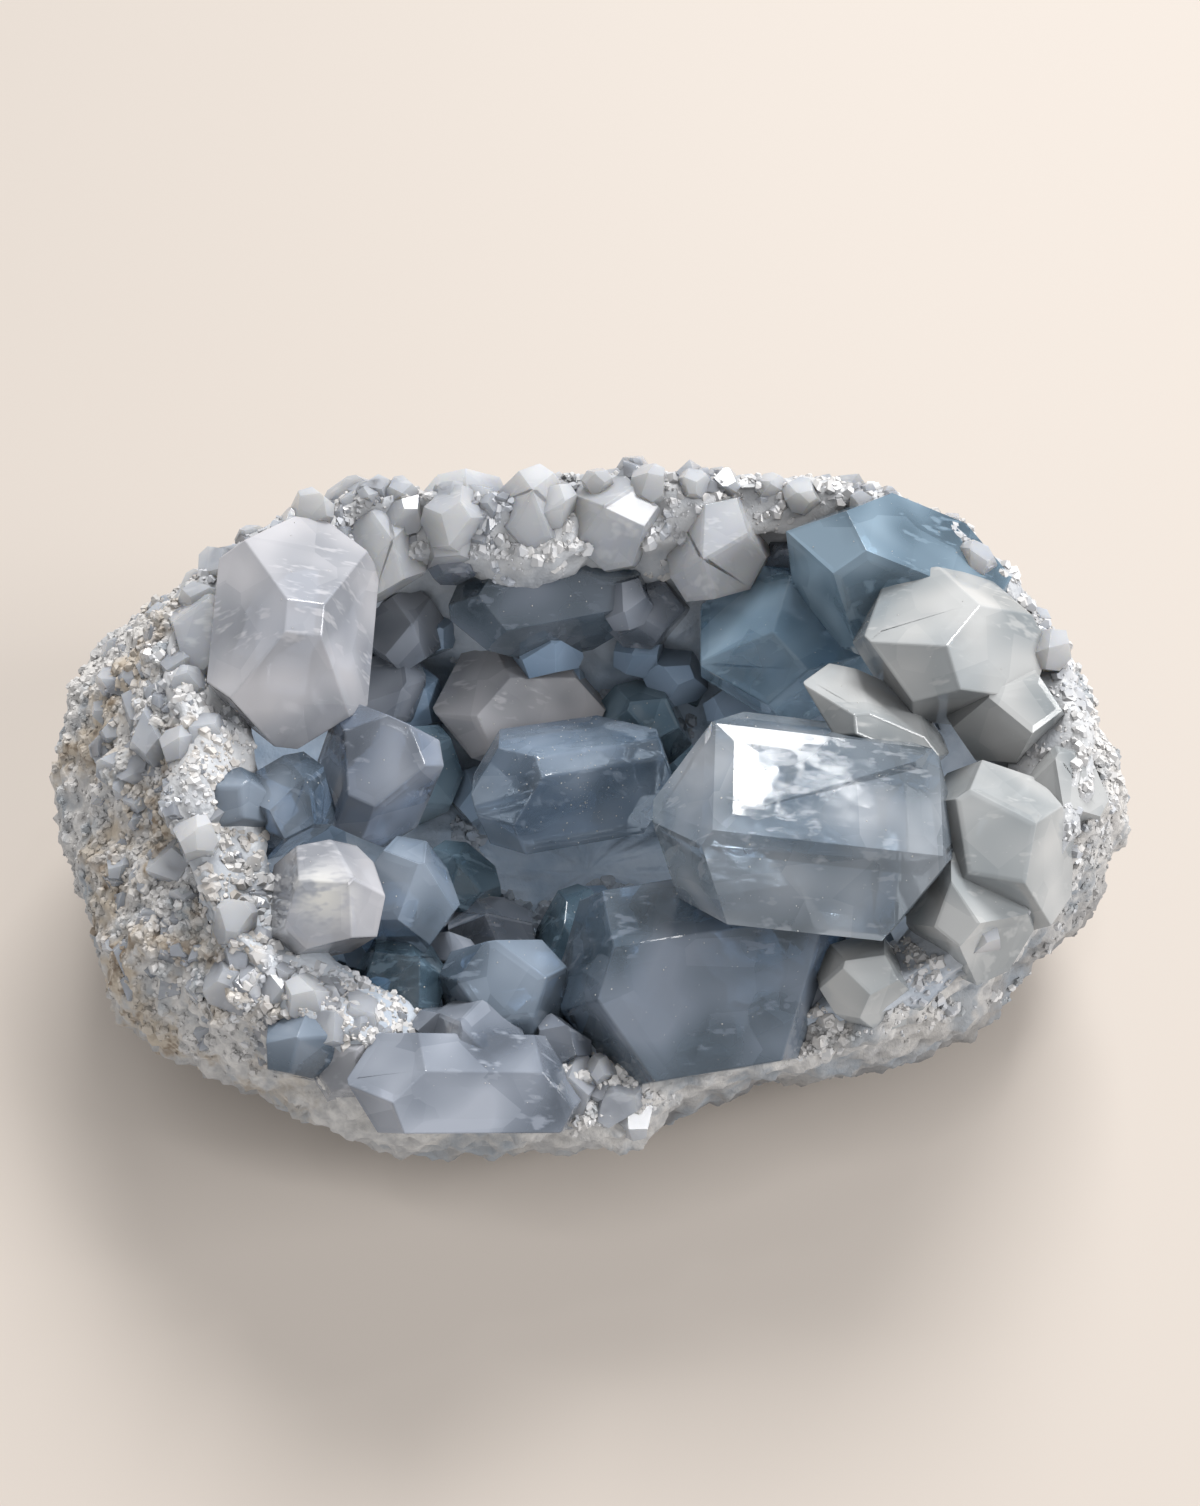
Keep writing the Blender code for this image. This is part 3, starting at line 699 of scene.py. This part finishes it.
def bed_profile(angle):
    """The bed's section, over the rind's edge, down the hollow, and back inside the rind."""
    edge = at_compass(EDGE_RADII, angle)
    top = at_compass(EDGE_HEIGHTS, angle)
    lip = [Vector((edge - inwards, top + up)) for inwards, up in CRUST_LIP]
    face = hollow_curve(angle, CRUST_DEPTH)
    back = hollow_curve(angle, -CRUST_BACK)
    rows = [bezier(back, 1 - i / BED_BACK_ROWS) for i in range(1, BED_BACK_ROWS + 1)]
    for low, high in zip(lip, lip[1:] + [Vector(face[0])]):
        rows += [low.lerp(high, i / BED_LIP_ROWS) for i in range(BED_LIP_ROWS)]
    rows += [bezier(face, i / BED_ROWS) for i in range(BED_ROWS)]
    return rows


def add_bed(made_of):
    """The granular bed from which the crystals grow."""
    mesh = bmesh.new()
    columns = []
    for i in range(BED_COLUMNS):
        angle = math.tau * i / BED_COLUMNS
        along = Vector((math.cos(angle), math.sin(angle), 0.0))
        places = [along * row.x + Vector((0, 0, row.y)) for row in bed_profile(angle)]
        columns.append([mesh.verts.new(place) for place in places])
    bottom = mesh.verts.new((0, 0, FLOOR_HEIGHT - CRUST_BACK))
    middle = mesh.verts.new((0, 0, FLOOR_HEIGHT + CRUST_DEPTH))
    for left, right in zip(columns, columns[1:] + columns[:1]):
        for i in range(len(left) - 1):
            mesh.faces.new((left[i], right[i], right[i + 1], left[i + 1]))
        mesh.faces.new((right[0], left[0], bottom))
        mesh.faces.new((left[-1], right[-1], middle))
    mesh.normal_update()
    size, depth = CRUST_WAVES
    moves = []
    for vertex in mesh.verts:
        lift = wave(vertex.co, size) * depth + grain(vertex.co, BED_GRAIN) - BED_SINK
        moves.append(vertex.normal * lift)
    for vertex, move in zip(mesh.verts, moves):
        vertex.co += move
    for face in mesh.faces:
        face.smooth = True
    bed = add_object("crystal_bed", mesh, made_of)
    fit_out(bed, "crystals")
    return bed


def grow_steps(mesh, dice):
    """Raises or sinks the middle of each larger face a little."""
    for face in [face for face in mesh.faces if face.calc_area() > STEP_AREA]:
        margin = math.sqrt(face.calc_area()) * dice.uniform(*STEP_MARGIN)
        bmesh.ops.inset_individual(mesh, faces=[face], thickness=margin, depth=dice.uniform(*STEP_HEIGHT))


def bevel_edges(thing):
    """Takes the sharpness off a crystal's edges, so that they catch the light."""
    bevel = thing.modifiers.new("edges", "BEVEL")
    bevel.width = EDGE_BEVEL * MM
    bevel.segments = 2
    bevel.limit_method = "ANGLE"
    bevel.angle_limit = math.radians(EDGE_ANGLE)


def look_of(number):
    """The name of the look of a large crystal."""
    for look, numbers in CRYSTAL_LOOKS.items():
        if number in numbers:
            return look
    return "blue"


def joined_crystals(specs, dice):
    """Several crystals in one mesh."""
    joined = bmesh.new()
    for spec in specs:
        part = crystal_mesh(*spec, dice)
        data = bpy.data.meshes.new("part")
        part.to_mesh(data)
        part.free()
        joined.from_mesh(data)
        bpy.data.meshes.remove(data)
    return joined


def add_crystals(looks):
    """Each large crystal as its own piece, and the small ones joined ring by ring."""
    dice = random.Random(SEED)
    steps_dice = random.Random(SEED + 1)
    small = small_crystals(dice)
    made = []
    for number, spec in enumerate(LARGE_CRYSTALS, 1):
        mesh = crystal_mesh(*spec, dice)
        grow_steps(mesh, steps_dice)
        made.append(add_object(f"crystal_{number:02d}", mesh, looks[look_of(number)]))
    start = 0
    for ring, (_, count, *_) in enumerate(SMALL_CRYSTAL_RINGS, 1):
        joined = joined_crystals(small[start:start + count], dice)
        start += count
        made.append(add_object(f"small_crystals_{ring}", joined, looks[RING_LOOKS[ring - 1]]))
    for crystal in made:
        bevel_edges(crystal)
        fit_out(crystal, "crystals")
    return made


def grain_shapes(dice):
    """A few small crystal shapes one unit long, as lists of points and triangles."""
    shapes = []
    for _ in range(GRAIN_SHAPES):
        width = dice.uniform(*GRAIN_WIDTH)
        mesh = crystal_mesh((-0.5, 0, 0), (0.5, 0, 0), width, width, 0, STEEP, dice)
        bmesh.ops.triangulate(mesh, faces=mesh.faces)
        points = np.array([vertex.co for vertex in mesh.verts])
        mesh.verts.index_update()
        triangles = np.array([[vertex.index for vertex in face.verts] for face in mesh.faces])
        shapes.append((points, triangles))
        mesh.free()
    return shapes


def add_grains(name, spots, made_of, node, dice):
    """Many tiny crystals in one mesh; a spot is (place, direction, length) in millimetres."""
    shapes = grain_shapes(dice)
    points, triangles = [], []
    count = 0
    for place, direction, length in spots:
        shape_points, shape_triangles = dice.choice(shapes)
        axes = crystal_axes(Vector((0, 0, 0)), direction, dice.uniform(0, math.pi))
        points.append(shape_points @ np.array(axes.transposed()) * length + np.array(place))
        triangles.append(shape_triangles + count)
        count += len(shape_points)
    data = bpy.data.meshes.new(name)
    data.from_pydata((np.concatenate(points) * MM).tolist(), [], np.concatenate(triangles).tolist())
    data.materials.append(made_of)
    thing = bpy.data.objects.new(name, data)
    bpy.context.scene.collection.objects.link(thing)
    fit_out(thing, node)


def tree_of(things):
    """One search tree over several finished objects, and which object each face belongs to."""
    seen_from = bpy.context.evaluated_depsgraph_get()
    points, faces, owners = [], [], []
    for number, thing in enumerate(things):
        data = thing.evaluated_get(seen_from).data
        start = len(points)
        points += [vertex.co / MM for vertex in data.vertices]
        faces += [[start + index for index in face.vertices] for face in data.polygons]
        owners += [number] * len(data.polygons)
    return BVHTree.FromPolygons(points, faces), owners


def scatter(tree, owners, wanted, count, least, most, near, far, sunk, start, end, dice):
    """Spots on the wanted objects, as seen from above, between two distances inwards from the edge.

    A spot is (place, direction, length); most are near the least length.
    """
    spots = []
    while len(spots) < count:
        angle = math.radians(dice.uniform(start, end))
        inwards = dice.uniform(near, far)
        radius = at_compass(EDGE_RADII, angle) - inwards
        if radius < 0 or radius > at_compass(GIRTH_RADII, angle):
            continue
        above = Vector((radius * math.cos(angle), radius * math.sin(angle), ABOVE_ALL))
        place, normal, face, _ = tree.ray_cast(above, Vector((0, 0, -1)))
        if face is None or owners[face] not in wanted:
            continue
        stray = Vector(dice.gauss(0, GRAIN_STRAY) for _ in range(3))
        length = least + (most - least) * dice.random() ** 3
        spots.append((place - normal * (length * sunk), (normal + stray).normalized(), length))
    return spots


def add_sugar(rind, bed, crystals, looks):
    """Small crystals and sugary grains on the rim, the rind and the bed, and dust on the crystals' faces."""
    dice = random.Random(SUGAR_SEED)
    tree, owners = tree_of([rind, bed, *crystals])
    every_crystal = set(range(2, 2 + len(crystals)))
    pale = sugar_material("sugar_pale", *RIM_SUGAR_LOOK)
    deep = sugar_material("sugar_deep", *BED_SUGAR_LOOK)
    white = rind_material("rind_sugar", *RIND_SUGAR_LOOK)
    for name, wanted, made_of, node in (
        ("rim_crystals", {0, 1}, looks["pearly"], "crystals"),
        ("back_crystals", {0, 1}, looks["pearly"], "crystals"),
        ("rim_sugar", {0, 1}, pale, "crystals"),
        ("rind_sugar", {0}, white, "rind"),
        ("bed_sugar", {1}, deep, "crystals"),
        ("dust", every_crystal, dust_material(), "crystals"),
    ):
        spots = scatter(tree, owners, wanted, *SUGAR[name], dice)
        add_grains(name, spots, made_of, node, dice)


def add_floor():
    """A plain pale floor."""
    paint = bpy.data.materials.new("floor")
    paint.use_nodes = True
    shader = paint.node_tree.nodes["Principled BSDF"]
    shader.inputs["Base Color"].default_value = FLOOR_COLOUR
    shader.inputs["Roughness"].default_value = 0.6
    mesh = bmesh.new()
    bmesh.ops.create_grid(mesh, x_segments=1, y_segments=1, size=FLOOR_REACH)
    floor = add_object("floor", mesh, paint)


def add_area_light(name, place, aim, size, power, colour, roll=0.0):
    """A flat light of a width and a height, turned about its own axis by degrees."""
    light = bpy.data.lights.new(name, "AREA")
    light.shape = "RECTANGLE"
    light.size, light.size_y = (value * MM for value in size)
    light.energy = power
    light.color = colour
    lamp = bpy.data.objects.new(name, light)
    lamp.location = Vector(place) * MM
    facing = (Vector(aim) - Vector(place)).to_track_quat("-Z", "Y").to_matrix()
    lamp.rotation_euler = (facing @ Matrix.Rotation(math.radians(roll), 3, "Z")).to_euler()
    bpy.context.scene.collection.objects.link(lamp)


def add_lights():
    """The broad lights, and the window that a crystal mirrors."""
    for light in BROAD_LIGHTS:
        add_area_light(*light)
    for name, place, size, roll, brightness in WINDOW_PANES:
        power = brightness * size[0] * size[1] * MM * MM * math.pi
        add_area_light(name, place, MIRROR_SPOT, size, power, (1.0, 1.0, 1.0), roll)


def add_room():
    """The pale room around the stone."""
    world = bpy.data.worlds.new("room")
    world.use_nodes = True
    background = world.node_tree.nodes["Background"]
    background.inputs["Color"].default_value = ROOM_COLOUR
    background.inputs["Strength"].default_value = ROOM_BRIGHTNESS
    world.light_settings.distance = AMBIENT_REACH * MM
    bpy.context.scene.world = world
    bpy.context.scene.view_settings.view_transform = "Standard"


def limit_bounces():
    """Lets light bounce a few times in the crystals, and take the rest from the room."""
    cycles = bpy.context.scene.cycles
    cycles.max_bounces = 5
    cycles.transmission_bounces = 4
    cycles.diffuse_bounces = 2
    cycles.glossy_bounces = 2
    cycles.use_fast_gi = True
    cycles.fast_gi_method = "REPLACE"
    cycles.ao_bounces_render = 1


def add_camera():
    """The camera at the photograph's angle."""
    camera = bpy.data.cameras.new("camera")
    camera.lens = CAMERA_LENS
    camera.sensor_width = CAMERA_SENSOR
    camera.clip_start = CAMERA_NEAR * MM
    seat = bpy.data.objects.new("camera", camera)
    seat.location = Vector(CAMERA_PLACE) * MM
    seat.rotation_euler = (math.radians(90 - CAMERA_TILT), 0, 0)
    bpy.context.scene.collection.objects.link(seat)
    bpy.context.scene.camera = seat


add_camera()
add_lights()
add_room()
limit_bounces()
add_floor()
looks = {kind: crystal_material(kind, *values) for kind, values in CELESTITE.items()}
stone = add_rind(rind_material("rind_stone", *RIND_LOOK))
bed = add_bed(bed_material())
crystals = add_crystals(looks)
add_sugar(stone, bed, crystals, looks)
